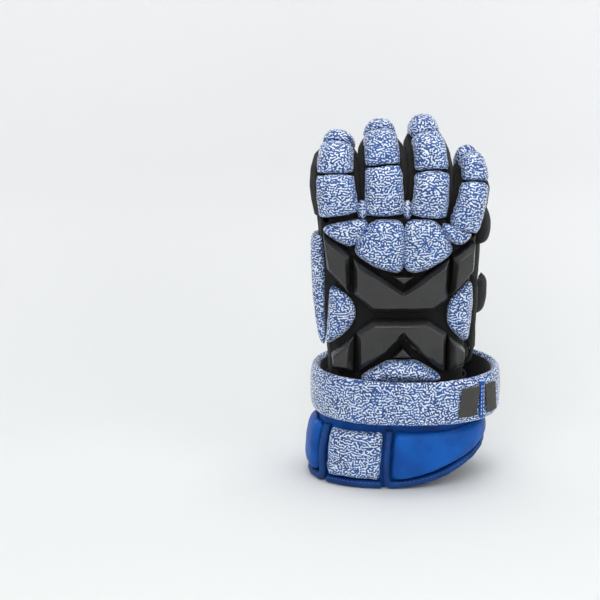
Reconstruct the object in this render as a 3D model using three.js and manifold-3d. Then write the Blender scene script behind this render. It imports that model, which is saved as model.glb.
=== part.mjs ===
// Lacrosse glove for a left hand, standing on its cuff with the back of the hand towards -Y and
// the thumb towards +X. Millimetres, +Z up. The hand goes in through the cuff at the bottom, up
// into a hollow palm shell and on into five hollow stalls. Padded blocks and plates cover the
// back of the hand and the fingers, and a padded strap goes round the wrist.
import * as THREE from 'three';
import { mergeVertices } from 'three/addons/utils/BufferGeometryUtils.js';
import Module from 'manifold-3d';

const wasm = await Module();
wasm.setup();

// Overall sizes
const PALM_WIDTH = 132; // across the palm shell at the knuckles
const PALM_DEPTH = 46; // from the back of the hand to the palm, outside the shell
const HAND_HEIGHT = 158; // palm shell, from its hem inside the cuff to the middle finger's base
const CUFF_HEIGHT = 88; // from the floor to the top of the cuff's collar
const COLLAR_OVERLAP = 18; // how far the shell reaches down inside the collar
const CUFF_WIDTH = 141; // across the cuff's tube at its widest
const CUFF_DEPTH = 90;
const SHELL_WALL = 2.6;
const CUFF_WALL = 2.4;

// Clearances
const SEAM_GAP = 0.8; // between a curved wall and the pad sewn on it
const BEND_GAP = 1.8; // between a bent stall and its pads
const GUARD_GAP = 2.4; // between the thumb's stall and its guards
const FACE_GAP = 0.4; // between faces that meet
const SLIVER = 0.05; // details smaller than this are left out of joined and cut solids
const STALL_CLEARANCE = 0.4; // left free round a stall where a pad is cut to it
const COLLAR_GAP = 1.3; // between the cuff's collar and the shell's hem in it
const PAD_SPACING = 1.2; // between neighbouring pads on one wall

// Fingers and thumb
const FINGER_LENGTH = 88; // along the middle finger's stall, from the knuckles to its tip
const STALL_DEPTH = 31; // from the back of a finger stall to its palm side, at the base
const STALL_WALL = 2;
const FINGER_PAD_THICKNESS = 11.5;
const THUMB_LENGTH = 100;
const THUMB_WIDTH = 32;
const THUMB_DEPTH = 29;
const THUMB_ROOT_WIDTH = 46; // across the thumb's root, where it leaves the palm
const GUARD_THICKNESS = 8;

// Pads and plates on the hand
const KNUCKLE_THICKNESS = 12;
const PLATE_THICKNESS = 13;
const SIDE_PAD_THICKNESS = 9;
const SIDE_ROLL_THICKNESS = 6.5;
const SIDE_STRIP_THICKNESS = 14;
const WRIST_PAD_THICKNESS = 18;
const SOFT_BEVEL = 7; // width of a soft pad's round edge
const KNUCKLE_BEVEL = 5;
const PLATE_BEVEL = 4.5;

// Cuff and strap
const PANEL_HEIGHT = 51; // top of the cuff's panels over the floor
const BINDING_WIDTH = 6.5;
const BINDING_THICKNESS = 5.5;
const BINDING_LIFT = 0.5; // how far the bindings stay over the cuff's rim
const STRAP_BOTTOM = 57;
const STRAP_WIDTH = 42;
const STRAP_THICKNESS = 8;
const STRAP_LINING = 1.4;
const STRAP_ACROSS = 148; // inside the strap, across the wrist
const STRAP_DEEP = 106;
const STRAP_ASIDE = 4.4; // the strap's middle, off the knuckles' middle
const INLAY_THICKNESS = 1.2;

// Palm shell sections. at is the share of HAND_HEIGHT above the hem; width and depth are shares
// of the palm's, shift and back move the middle by shares of the same, and square is the
// exponent of the rounded oblong: 2 is an ellipse and more is squarer.
const SHELL_SECTIONS = [
  { at: 0.0, width: 0.86, depth: 1.36, shift: -0.025, back: 0.04, square: 2.3 },
  { at: 0.13, width: 0.87, depth: 1.24, shift: -0.03, back: 0.02, square: 2.4 },
  { at: 0.3, width: 0.89, depth: 1.1, shift: -0.035, back: 0.0, square: 2.6 },
  { at: 0.55, width: 0.93, depth: 1.0, shift: -0.04, back: -0.03, square: 2.9 },
  { at: 0.78, width: 0.97, depth: 0.88, shift: -0.035, back: -0.1, square: 3.2 },
  { at: 1.0, width: 1.03, depth: 0.74, shift: -0.03, back: -0.18, square: 3.8 },
];

// Cuff tube sections below the collar, as shares of the cuff's height, width and depth.
const CUFF_SECTIONS = [
  { at: 0.0, width: 0.98, depth: 0.98, shift: -0.025, back: -0.02, square: 2.3 },
  { at: 0.3, width: 1.0, depth: 1.0, shift: -0.025, back: -0.02, square: 2.3 },
  { at: 0.52, width: 0.97, depth: 0.98, shift: -0.015, back: -0.01, square: 2.3 },
  { at: 0.62, width: 0.94, depth: 0.94, shift: -0.011, back: 0.0, square: 2.3 },
  { at: 0.72, width: 0.91, depth: 0.9, shift: -0.016, back: 0.0, square: 2.3 },
];
const COLLAR_FROM = 0.72; // share of the cuff's height where it starts to close in on the wrist
const COLLAR_TO = 0.84; // share where it has closed in

// Height of the cuff's rim over the floor, as a share of the cuff's height. around is 0 at the
// back of the hand, 0.5 at the thumb's side, and 1 and -1 at the palm side.
const RIM_RISES = [
  { around: -1.0, rise: 0.0 },
  { around: -0.04, rise: 0.0 },
  { around: 0.1, rise: 0.035 },
  { around: 0.22, rise: 0.11 },
  { around: 0.33, rise: 0.22 },
  { around: 0.44, rise: 0.32 },
  { around: 0.52, rise: 0.34 },
  { around: 0.6, rise: 0.25 },
  { around: 0.68, rise: 0.08 },
  { around: 0.76, rise: 0.0 },
  { around: 1.0, rise: 0.0 },
];

// Places around the cuff where each panel begins and ends. A bound end has a binding up it.
const PANELS = [
  { name: 'inner', thickness: 7.5, from: -0.6, to: -0.35, bound: 'to' },
  { name: 'front', thickness: 6.5, from: -0.327, to: -0.072, bound: 'none' },
  { name: 'outer', thickness: 8, from: -0.05, to: 0.6, bound: 'from' },
  { name: 'palm', thickness: 6.5, from: 0.62, to: 1.38, bound: 'none' },
];

// Corners of the pads on the back of the hand. x is measured across from the hand's middle, as
// shares of PALM_WIDTH, and up from the shell's hem, as shares of HAND_HEIGHT.
const KNUCKLE_PADS = {
  knuckle_pad_little: { x: [-0.517, -0.288, -0.213, -0.325], up: [0.955, 1.002, 1.002, 0.838] },
  knuckle_pad_ring: {
    x: [-0.203, 0.0, 0.0, -0.05, -0.18, -0.318],
    up: [1.002, 1.002, 0.718, 0.718, 0.748, 0.83],
  },
  knuckle_pad_middle: {
    x: [0.0, 0.2, 0.316, 0.18, 0.09, 0.0],
    up: [1.002, 1.0, 0.834, 0.748, 0.718, 0.718],
  },
  knuckle_pad_index: { x: [0.212, 0.3, 0.442, 0.328], up: [0.998, 0.962, 0.916, 0.838] },
};
const PLATES = {
  upper_plate_left: { x: [-0.515, -0.337, -0.337, -0.489], up: [0.935, 0.815, 0.597, 0.732] },
  upper_plate_centre: {
    x: [-0.322, -0.085, 0.0, 0.085, 0.29, 0.283, 0.191, -0.197, -0.316],
    up: [0.8, 0.668, 0.622, 0.668, 0.8, 0.575, 0.509, 0.509, 0.603],
  },
  upper_plate_right: { x: [0.307, 0.456, 0.453, 0.3], up: [0.8, 0.885, 0.717, 0.584] },
  lower_plate_left: { x: [-0.309, -0.311, -0.451, -0.459], up: [0.38, 0.175, 0.175, 0.27] },
  lower_plate_centre: {
    x: [-0.188, 0.164, 0.281, 0.28, 0.255, 0.09, 0.0, -0.097, -0.286, -0.296],
    up: [0.464, 0.464, 0.394, 0.2, 0.175, 0.29, 0.37, 0.286, 0.175, 0.4],
  },
  lower_plate_right: { x: [0.297, 0.377, 0.408, 0.408, 0.295], up: [0.371, 0.317, 0.287, 0.191, 0.17] },
};
const KEYSTONES = {
  upper_keystone: { x: [-0.07, 0.07, 0.0], up: [0.703, 0.703, 0.652] },
  lower_keystone: { x: [0.0, 0.066, -0.072], up: [0.322, 0.258, 0.258] },
};
const SIDE_PADS = {
  side_pad_inner: { x: [-0.47, -0.315, -0.285, -0.335, -0.5], up: [0.66, 0.572, 0.487, 0.4, 0.285] },
  side_pad_outer: {
    x: [0.3, 0.452, 0.462, 0.442, 0.42, 0.36, 0.293, 0.272],
    up: [0.575, 0.68, 0.515, 0.34, 0.3, 0.355, 0.405, 0.487],
  },
};
const WRIST_PADS = {
  wrist_pad: {
    x: [-0.28, -0.11, -0.085, 0.085, 0.11, 0.262, 0.262, -0.28],
    up: [0.16, 0.24, 0.245, 0.245, 0.24, 0.16, 0.125, 0.125],
  },
};

// The roll down the little finger's side of the hand, in shares of the way around.
const SIDE_ROLL = {
  around: [-0.41, -0.415, -0.425, -0.43, -0.48, -0.53, -0.58, -0.58],
  up: [0.91, 0.7, 0.45, 0.28, 0.28, 0.45, 0.7, 0.91],
};

// The strip up the thumb's side of the hand, below the thumb, in the same shares.
const SIDE_STRIP = { around: [0.535, 0.605, 0.605, 0.535], up: [0.14, 0.14, 0.66, 0.66] };

// Fingers, from the little finger to the first. x is the base's middle and width the stall's,
// as shares of PALM_WIDTH; drop is how far the base lies under the middle finger's, as a share
// of HAND_HEIGHT; length is a share of FINGER_LENGTH.
const FINGERS = [
  { name: 'little', x: -0.402, width: 0.276, drop: 0.0, length: 0.69 },
  { name: 'ring', x: -0.118, width: 0.272, drop: 0.0, length: 0.78 },
  { name: 'middle', x: 0.15, width: 0.25, drop: 0.01, length: 0.91 },
  { name: 'index', x: 0.377, width: 0.193, drop: 0.08, length: 0.68 },
];
// Where each finger bends, as shares of FINGER_LENGTH from its base, and by how much, in
// degrees. lean is the sideways slope at the base, and leans and curls are those at the bends.
const FINGER_BENDS = [
  { first: 0.34, second: 0.55, lean: -8, leans: [13, 5], curls: [34, 34] },
  { first: 0.42, second: 0.66, lean: -3, leans: [-1, -1], curls: [32, 42] },
  { first: 0.39, second: 0.66, lean: 5, leans: [-12, -4], curls: [32, 38] },
  { first: 0.41, second: 0.57, lean: 16, leans: [-24, -14], curls: [42, 38] },
];
const FINGER_TILT = 5; // backward slope of all fingers at their bases, in degrees
const BEND_SPAN = 24; // length over which a bend is spread
const TIP_LENGTH = 13; // length of a stall's round tip
const STALL_TAPER = 0.95; // a finger stall's width at its tip, as a share of its base's
const STALL_SWELL = 0.08; // how much wider a stall is about its first bend
const PAD_SHARE = 0.95; // a finger pad's width, as a share of its stall's at the base
const PAD_TAPER = 0.82; // a finger pad's width at the tip, as a share of its width at the base

// The thumb lies before the palm. Its base, and its root inside the shell, are in shares of
// PALM_WIDTH across, PALM_DEPTH towards the palm, and HAND_HEIGHT above the hem.
const THUMB_BASE = { x: 0.395, y: 0.88, up: 0.4 };
const THUMB_ROOT = { x: 0.33, y: 0.12, up: 0.2 };
const THUMB_LEAN = 3; // outward slope, in degrees
const THUMB_TILT = -7; // slope towards the palm's face, in degrees

// Places around the strap for the seam and the inlays beside it
const STRAP_SEAM = { from: 0.279, to: 0.297 };
const STRAP_INLAYS = [
  { name: 'front', from: 0.195, to: 0.27, lean: 0.024 },
  { name: 'rear', from: 0.307, to: 0.365, lean: -0.024 },
];

const V3 = THREE.Vector3;
const group = new THREE.Group();
const SHELL_HEM = CUFF_HEIGHT - COLLAR_OVERLAP;
const KNUCKLE_HEIGHT = SHELL_HEM + HAND_HEIGHT;

// Materials
const finish = (color, roughness, metalness = 0) =>
  new THREE.MeshStandardMaterial({ color, roughness, metalness });
const blackSuede = finish(0x17171a, 0.92);
const blackLeather = finish(0x26272a, 0.5);
const printedLeather = finish(0x6f88bd, 0.42, 0.25);
const blueLeather = finish(0x1450a4, 0.4);
const bindingLeather = finish(0x1c3f86, 0.55);
const greyInlay = finish(0x55565a, 0.6);

// Numbers and tables
const mix = (a, b, share) => a + (b - a) * share;
const clamp = (value, low, high) => Math.min(high, Math.max(low, value));
const ease = (share) => {
  const t = clamp(share, 0, 1);
  return t * t * (3 - 2 * t);
};
const times = (count, make) => Array.from({ length: count }, (_, i) => make(i));
const middleOf = (points) => points.reduce((sum, p) => sum.add(p), new V3()).divideScalar(points.length);

// A column of a table, read smoothly at a place between its rows.
function read(rows, placeKey, key, place) {
  let i = rows.findIndex((row) => row[placeKey] > place) - 1;
  if (i === -2) i = rows.length - 2;
  i = clamp(i, 0, rows.length - 2);
  const [p0, p1, p2, p3] = [-1, 0, 1, 2].map((k) => rows[clamp(i + k, 0, rows.length - 1)]);
  const span = p2[placeKey] - p1[placeKey];
  const t = clamp((place - p1[placeKey]) / span, 0, 1);
  const slope = (a, b) => (b[key] - a[key]) / (b[placeKey] - a[placeKey]);
  const m1 = slope(p0, p2) * span;
  const m2 = slope(p1, p3) * span;
  const bend = (2 * p1[key] - 2 * p2[key] + m1 + m2) * t ** 3;
  return bend + (3 * p2[key] - 3 * p1[key] - 2 * m1 - m2) * t ** 2 + m1 * t + p1[key];
}

// Rounded oblongs, measured along their wall
const QUARTER_STEPS = 40;
const quarters = new Map();

// Points of a quarter of the oblong, with the share of the quarter's length at each.
function quarterOf(a, b, square) {
  const name = [a, b, square].map((value) => value.toFixed(3)).join();
  if (!quarters.has(name)) {
    const points = [];
    let run = 0;
    for (let i = 0; i <= QUARTER_STEPS; i++) {
      const t = (i / QUARTER_STEPS) * (Math.PI / 2);
      const x = a * Math.sin(t) ** (2 / square);
      const y = b * Math.max(0, Math.cos(t)) ** (2 / square);
      if (i) run += Math.hypot(x - points[i - 1].x, y - points[i - 1].y);
      points.push({ x, y, run });
    }
    points.forEach((point) => (point.run /= run));
    quarters.set(name, points);
  }
  return quarters.get(name);
}

// The oblong's point and outward normal. around is 0 at -Y, 0.5 at +X, -0.5 at -X, 1 at +Y.
function oblong(a, b, square, around) {
  const turn = ((((around + 1) % 2) + 2) % 2) - 1;
  const side = turn < 0 ? -1 : 1;
  const front = Math.abs(turn) <= 0.5 ? -1 : 1;
  const share = front < 0 ? Math.abs(turn) * 2 : (1 - Math.abs(turn)) * 2;
  const points = quarterOf(a, b, square);
  let i = 1;
  while (i < points.length - 1 && points[i].run < share) i++;
  const t = (share - points[i - 1].run) / (points[i].run - points[i - 1].run);
  const x = mix(points[i - 1].x, points[i].x, t);
  const y = mix(points[i - 1].y, points[i].y, t);
  const nx = (x / a) ** (square - 1) / a;
  const ny = (y / b) ** (square - 1) / b;
  const length = Math.hypot(nx, ny);
  return { x: side * x, y: front * y, nx: (side * nx) / length, ny: (front * ny) / length };
}

// The hand's, cuff's and strap's walls
function shellSection(z) {
  const at = (z - SHELL_HEM) / HAND_HEIGHT;
  const of = (key) => read(SHELL_SECTIONS, 'at', key, at);
  return {
    a: (of('width') * PALM_WIDTH) / 2,
    b: (of('depth') * PALM_DEPTH) / 2,
    x: of('shift') * PALM_WIDTH,
    y: of('back') * PALM_DEPTH,
    square: of('square'),
  };
}

function cuffSection(z) {
  const share = clamp(z / CUFF_HEIGHT, 0, 1);
  const of = (key) => read(CUFF_SECTIONS, 'at', key, share);
  const tube = {
    a: (of('width') * CUFF_WIDTH) / 2,
    b: (of('depth') * CUFF_DEPTH) / 2,
    x: of('shift') * CUFF_WIDTH,
    y: of('back') * CUFF_DEPTH,
    square: of('square'),
  };
  // The collar lies round the shell's hem, a wall and a clearance outside it.
  const hem = shellSection(Math.max(z, SHELL_HEM));
  const out = COLLAR_GAP + CUFF_WALL;
  const collar = { a: hem.a + out, b: hem.b + out, x: hem.x, y: hem.y, square: hem.square };
  const close = ease((share - COLLAR_FROM) / (COLLAR_TO - COLLAR_FROM));
  const made = {};
  for (const key of Object.keys(tube)) made[key] = mix(tube[key], collar[key], close);
  return made;
}

function strapSection() {
  const tube = cuffSection(STRAP_BOTTOM);
  return { a: STRAP_ACROSS / 2, b: STRAP_DEEP / 2, x: STRAP_ASIDE, y: tube.y, square: tube.square };
}

function onSection(section, around, z, out) {
  const p = oblong(section.a, section.b, section.square, around);
  return new V3(section.x + p.x + p.nx * out, section.y + p.y + p.ny * out, z);
}

const onShell = (around, z, out) => onSection(shellSection(z), around, z, out);
const onCuff = (around, z, out) => onSection(cuffSection(z), around, z, out);
const onStrap = (around, z, out) => onSection(strapSection(), around, z, out);
const rimAt = (around) => Math.max(0, read(RIM_RISES, 'around', 'rise', around)) * CUFF_HEIGHT;

// Points over the back of the hand, where a face at a height over the wall shows at x.
const overBack = (faceHeight) => (x, z, out) => {
  const section = shellSection(z);
  let [low, high] = [-0.5, 0.5];
  for (let i = 0; i < 24; i++) {
    const around = (low + high) / 2;
    const isLeft = onSection(section, around, z, faceHeight).x < x;
    [low, high] = isLeft ? [around, high] : [low, around];
  }
  return onSection(section, (low + high) / 2, z, out);
};

// Length of half the way round a wall, which turns shares of the way around into millimetres.
function halfRound(place, z) {
  const steps = 48;
  const points = times(steps + 1, (i) => place(i / steps, z, 0));
  return points.slice(1).reduce((length, point, i) => length + point.distanceTo(points[i]), 0);
}

const shellRound = halfRound(onShell, KNUCKLE_HEIGHT);
const cuffRound = halfRound(onCuff, PANEL_HEIGHT);
const alongShell = (u, z, out) => onShell(u / shellRound, z, out);
const alongCuff = (u, z, out) => onCuff(u / cuffRound, z, out);

// A closed mesh from its points and triangles, turned so that its faces point out.
function closedGeometry(points, triangles) {
  let volume = 0;
  for (const [a, b, c] of triangles) {
    volume += points[a].dot(new V3().crossVectors(points[b], points[c]));
  }
  const faces = volume < 0 ? triangles.map(([a, b, c]) => [a, c, b]) : triangles;
  const geometry = new THREE.BufferGeometry().setFromPoints(points);
  geometry.setIndex(faces.flat());
  const loose = geometry.toNonIndexed();
  loose.computeVertexNormals();
  return loose;
}

// Triangles between rings of equal length. A ring of one point closes an end, and joined ends
// make a closed band.
function skin(rings, joinEnds = false, caps = []) {
  const starts = [];
  let count = 0;
  for (const ring of rings) {
    starts.push(count);
    count += ring.length;
  }
  const at = (ring, step) => starts[ring] + (step % rings[ring].length);
  const triangles = [...caps];
  const last = joinEnds ? rings.length : rings.length - 1;
  for (let i = 0; i < last; i++) {
    const k = (i + 1) % rings.length;
    for (let j = 0; j < Math.max(rings[i].length, rings[k].length); j++) {
      if (rings[k].length > 1) triangles.push([at(i, j), at(k, j), at(k, j + 1)]);
      if (rings[i].length > 1) triangles.push([at(i, j), at(k, j + 1), at(i, j + 1)]);
    }
  }
  return closedGeometry(rings.flat(), triangles);
}

const cappedSkin = (rings) => skin([[middleOf(rings[0])], ...rings, [middleOf(rings.at(-1))]]);

// A skin over bowed rings. Each ring runs along a face and then back along the face under it,
// and an end is closed by strips from one face to the other.
function bowedSkin(rings) {
  const sides = rings[0].length;
  const lastStart = (rings.length - 1) * sides;
  const caps = [];
  for (let i = 0; i < sides / 2 - 1; i++) {
    const [over, nextOver] = [i, i + 1];
    const [under, nextUnder] = [sides - 1 - i, sides - 2 - i];
    caps.push([over, nextOver, nextUnder], [over, nextUnder, under]);
    const far = [over, nextUnder, nextOver, over, under, nextUnder].map((at) => at + lastStart);
    caps.push(far.slice(0, 3), far.slice(3));
  }
  return skin(rings, false, caps);
}

function addMesh(name, geometry, material) {
  const mesh = new THREE.Mesh(geometry, material);
  mesh.name = name;
  group.add(mesh);
}

function toSolid(geometry) {
  const bare = geometry.clone();
  bare.deleteAttribute('normal');
  bare.deleteAttribute('uv');
  const merged = mergeVertices(bare, 1e-3);
  const vertProperties = merged.attributes.position.array;
  const triVerts = new Uint32Array(merged.index.array);
  return new wasm.Manifold(new wasm.Mesh({ numProp: 3, vertProperties, triVerts }));
}

// A joined or cut solid's mesh, without the slivers that a cut leaves.
function fromSolid(solid) {
  const mesh = solid.simplify(SLIVER).getMesh();
  const geometry = new THREE.BufferGeometry();
  geometry.setAttribute('position', new THREE.BufferAttribute(mesh.vertProperties, 3));
  geometry.setIndex(new THREE.BufferAttribute(mesh.triVerts, 1));
  const loose = geometry.toNonIndexed();
  loose.computeVertexNormals();
  return loose;
}

// A piece cut clear of the rooms that other pieces take up, where it reaches into them.
function clearOf(geometry, ...rooms) {
  const solid = toSolid(geometry);
  const reached = rooms.filter((room) => solid.intersect(room).volume() > 0);
  if (!reached.length) return geometry;
  return fromSolid(reached.reduce((left, room) => left.subtract(room), solid));
}

// The corners moved in by a distance from all sides.
function insetCorners(corners, distance) {
  const count = corners.length;
  let area = 0;
  corners.forEach(([x, y], i) => {
    const [x2, y2] = corners[(i + 1) % count];
    area += x * y2 - x2 * y;
  });
  const inward = ([x, y], [x2, y2]) => {
    const length = Math.hypot(x2 - x, y2 - y) * Math.sign(area);
    return [-(y2 - y) / length, (x2 - x) / length];
  };
  return corners.map((corner, i) => {
    const before = inward(corners[(i + count - 1) % count], corner);
    const after = inward(corner, corners[(i + 1) % count]);
    const reach = distance / Math.max(0.45, 1 + before[0] * after[0] + before[1] * after[1]);
    return [corner[0] + (before[0] + after[0]) * reach, corner[1] + (before[1] + after[1]) * reach];
  });
}

// Edge profiles of pads: inset is a share of the bevel's width and rise of the thickness.
const SOFT_PROFILE = [
  { inset: 0, rise: 0.4 },
  { inset: 0.25, rise: 0.7 },
  { inset: 1, rise: 0.94 },
];
const PLATE_PROFILE = [
  { inset: 0, rise: 0.4 },
  { inset: 0.15, rise: 0.6 },
  { inset: 1, rise: 1 },
];
const PAD_STEP = 13; // length of the facets along a pad's edge

// A pad on a wall. place(u, v, out) is a point over the wall, with u and v in millimetres. The
// pad's back follows the wall, and its face rises from the edge over the bevel.
function pad(place, corners, { thickness, bevel = SOFT_BEVEL, profile = SOFT_PROFILE }) {
  const steps = corners.map(([u, v], i) => {
    const [u2, v2] = corners[(i + 1) % corners.length];
    return Math.max(1, Math.round(place(u, v, 0).distanceTo(place(u2, v2, 0)) / PAD_STEP));
  });
  const edgeOf = (outline) =>
    outline.flatMap(([u, v], i) => {
      const [u2, v2] = outline[(i + 1) % outline.length];
      return times(steps[i], (k) => [mix(u, u2, k / steps[i]), mix(v, v2, k / steps[i])]);
    });
  const edge = edgeOf(corners);
  const inner = edgeOf(insetCorners(corners, bevel));
  const middle = [0, 1].map((k) => inner.reduce((sum, p) => sum + p[k], 0) / inner.length);
  const shrunk = (points, share, out) =>
    points.map(([u, v]) => place(mix(u, middle[0], share), mix(v, middle[1], share), out));
  const centre = (out) => [place(middle[0], middle[1], out)];
  const top = SEAM_GAP + thickness;
  return skin([
    centre(SEAM_GAP),
    shrunk(edge, 0.65, SEAM_GAP),
    shrunk(edge, 0.32, SEAM_GAP),
    shrunk(edge, 0, SEAM_GAP),
    ...profile.map(({ inset, rise }) =>
      shrunk(edgeOf(insetCorners(corners, bevel * inset)), 0, SEAM_GAP + rise * thickness),
    ),
    shrunk(inner, 0.5, top),
    centre(top),
  ]);
}

// A strip sewn on a wall along a path of [u, v] points, with a rounded face.
const STRIP_PROFILE = [
  { across: -0.5, rise: 0 },
  { across: -0.5, rise: 0.55 },
  { across: -0.25, rise: 0.95 },
  { across: 0.25, rise: 0.95 },
  { across: 0.5, rise: 0.55 },
  { across: 0.5, rise: 0 },
];

function strip(place, path, width, thickness) {
  const points = path.map(([u, v]) => place(u, v, SEAM_GAP));
  const rings = path.map(([u, v], i) => {
    const ahead = points[Math.min(i + 1, points.length - 1)];
    const along = new V3().subVectors(ahead, points[Math.max(i - 1, 0)]).normalize();
    const out = new V3().subVectors(place(u, v, SEAM_GAP + 1), points[i]).normalize();
    const across = new V3().crossVectors(out, along).normalize();
    return STRIP_PROFILE.map((row) => {
      const point = points[i].clone().addScaledVector(across, row.across * width);
      return point.addScaledVector(out, row.rise * thickness);
    });
  });
  return cappedSkin(rings);
}

// A band all round a wall. The profile's up is a share of the height between low and high.
function band(place, low, high, profile, steps) {
  const ringAt = (around) => profile.map((row) => place(around, mix(low(around), high, row.up), row.out));
  return skin(times(steps, (i) => ringAt(-1 + (2 * i) / steps)), true);
}

// A digit's middle line, which curls towards the palm and leans sideways at its bends. Each
// frame has a point p, the way along t, the way out over the digit's back n, and across b.
const PATH_STEP = 1;

function digitPath(digit) {
  const t = digit.along.clone().normalize();
  const n = digit.back.clone().addScaledVector(t, -digit.back.dot(t)).normalize();
  const p = digit.base.clone();
  const bentBy = (turns, s) =>
    digit.bends.reduce((sum, bend, i) => sum + turns[i] * ease((s - bend) / BEND_SPAN + 0.5), 0);
  const turned = (turns, s) => THREE.MathUtils.degToRad(bentBy(turns, s + PATH_STEP) - bentBy(turns, s));
  const frames = [];
  for (let s = 0; s <= digit.length + PATH_STEP; s += PATH_STEP) {
    const b = new V3().crossVectors(t, n).normalize();
    frames.push({ p: p.clone(), t: t.clone(), n: n.clone(), b });
    const curl = turned(digit.curls, s);
    t.applyAxisAngle(b, -curl);
    n.applyAxisAngle(b, -curl);
    t.applyAxisAngle(n, -turned(digit.leans, s));
    p.addScaledVector(t, PATH_STEP);
  }
  return (s) => {
    const at = clamp(s / PATH_STEP, 0, frames.length - 1.001);
    const [f, g] = [frames[Math.floor(at)], frames[Math.floor(at) + 1]];
    const made = {};
    for (const key of ['p', 't', 'n', 'b']) made[key] = f[key].clone().lerp(g[key], at % 1);
    return made;
  };
}

// Half the digit's width and depth inside a wall at a place along it, with a round tip.
const SWELL_END = 0.8; // share of a stall's length where its swell has run out

function digitSize(digit, s, wall) {
  const swell = digit.swell * Math.sin(Math.PI * clamp(s / (SWELL_END * digit.length), 0, 1));
  const share = mix(1, digit.taper, clamp(s / digit.length, 0, 1)) + swell;
  const tipFrom = digit.length - TIP_LENGTH;
  const into = clamp((s - tipFrom) / (TIP_LENGTH - wall), 0, 1);
  const round = Math.sqrt(1 - into * into);
  const square = mix(digit.square, 2.4, ease(s / digit.length));
  const a = ((digit.width / 2) * share - wall) * round;
  const b = ((digit.depth / 2) * share - wall) * round;
  return { a, b, square };
}

// A ring round a digit. A level digit's first ring is drawn along it onto its base's height.
function digitRing(digit, s, wall, sides) {
  const { a, b, square } = digitSize(digit, s, wall);
  const frame = digit.path(s);
  return times(sides, (i) => {
    const q = oblong(a, b, square, -1 + (2 * (i + 0.5)) / sides);
    const point = frame.p.clone().addScaledVector(frame.b, q.x).addScaledVector(frame.n, -q.y);
    const under = s === 0 && digit.isLevel ? (digit.base.z - point.z) / frame.t.z : 0;
    return point.addScaledVector(frame.t, under);
  });
}

const STALL_SIDES = 12;
const STALL_STATIONS = [0, 0.34, 0.55, 0.76, 1];
const TIP_STATIONS = [0.5, 0.88];

// Rings up a digit, inside its outer face by a wall, to the point of its tip.
function digitSide(digit, wall) {
  const tipFrom = digit.length - TIP_LENGTH;
  const stations = STALL_STATIONS.map((share) => share * tipFrom);
  stations.push(...TIP_STATIONS.map((share) => tipFrom + share * (TIP_LENGTH - wall)));
  const rings = stations.map((s) => digitRing(digit, s, wall, STALL_SIDES));
  return [...rings, [digit.path(digit.length - wall).p]];
}

// A hollow stall: an inner and an outer skin that meet round its open base.
const stall = (digit) => skin([...digitSide(digit, STALL_WALL).reverse(), ...digitSide(digit, 0)]);

// The room that a stall takes up with a clearance round it.
function stallRoom(digit) {
  const rings = digitSide(digit, -STALL_CLEARANCE);
  return toSolid(skin([[middleOf(rings[0])], ...rings]));
}

// A padded block on the back of a digit. across runs over half its width, along over its length.
const BLOCK_PROFILE = [
  { across: -1, rise: 0.12 },
  { across: -0.9, rise: 0.62 },
  { across: -0.45, rise: 0.96 },
  { across: 0.45, rise: 0.96 },
  { across: 0.9, rise: 0.62 },
  { across: 1, rise: 0.12 },
];
const TIP_GAP = 1.5; // the gap under a pad at its digit's tip, as a share of BEND_GAP
const BLOCK_LENGTHS = [
  { along: 0, rise: 0.5 },
  { along: 0.12, rise: 0.84 },
  { along: 0.35, rise: 1 },
  { along: 0.65, rise: 1 },
  { along: 0.88, rise: 0.84 },
  { along: 1, rise: 0.5 },
];

function block(digit, from, to, thickness, baseGap = BEND_GAP) {
  const rings = BLOCK_LENGTHS.map(({ along, rise }) => {
    const s = mix(from, to, along);
    const frame = digit.path(s);
    const { a, b, square } = digitSize(digit, Math.min(s, digit.length - TIP_LENGTH / 4), 0);
    const half = (digit.width / 2) * PAD_SHARE * mix(1, PAD_TAPER, clamp(s / digit.length, 0, 1));
    const reach = Math.min(half, a * PAD_SHARE);
    const at = (across, height) =>
      frame.p.clone().addScaledVector(frame.b, across).addScaledVector(frame.n, height);
    const gap = baseGap * mix(1, TIP_GAP, clamp(s / digit.length, 0, 1));
    const wallAt = (across) => gap + b * (1 - Math.abs(across / a) ** square) ** (1 / square);
    const under = BLOCK_PROFILE.map((row) => {
      const across = row.across * half;
      return at(across, wallAt(clamp(across, -reach, reach)));
    });
    const top = b + BEND_GAP + thickness * rise;
    const over = BLOCK_PROFILE.map((row) => at(row.across * half, mix(wallAt(reach), top, row.rise)));
    return [...over, ...under.reverse()];
  });
  return bowedSkin(rings);
}

const direction = (lean, tilt) => {
  const [l, t] = [lean, tilt].map(THREE.MathUtils.degToRad);
  return new V3(Math.sin(l), Math.sin(t) * Math.cos(l), Math.cos(t) * Math.cos(l));
};

const fingers = FINGERS.map((row, i) => {
  const bends = FINGER_BENDS[i];
  const baseZ = KNUCKLE_HEIGHT - row.drop * HAND_HEIGHT;
  const finger = {
    name: row.name,
    base: new V3(row.x * PALM_WIDTH, shellSection(baseZ).y, baseZ + FACE_GAP),
    along: direction(bends.lean, FINGER_TILT),
    back: new V3(0, -1, 0),
    width: row.width * PALM_WIDTH,
    depth: STALL_DEPTH,
    length: row.length * FINGER_LENGTH,
    bends: [bends.first * FINGER_LENGTH, bends.second * FINGER_LENGTH],
    curls: bends.curls,
    leans: bends.leans,
    square: 3.6,
    taper: STALL_TAPER,
    swell: STALL_SWELL,
    isLevel: true,
  };
  finger.path = digitPath(finger);
  return finger;
});

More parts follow.
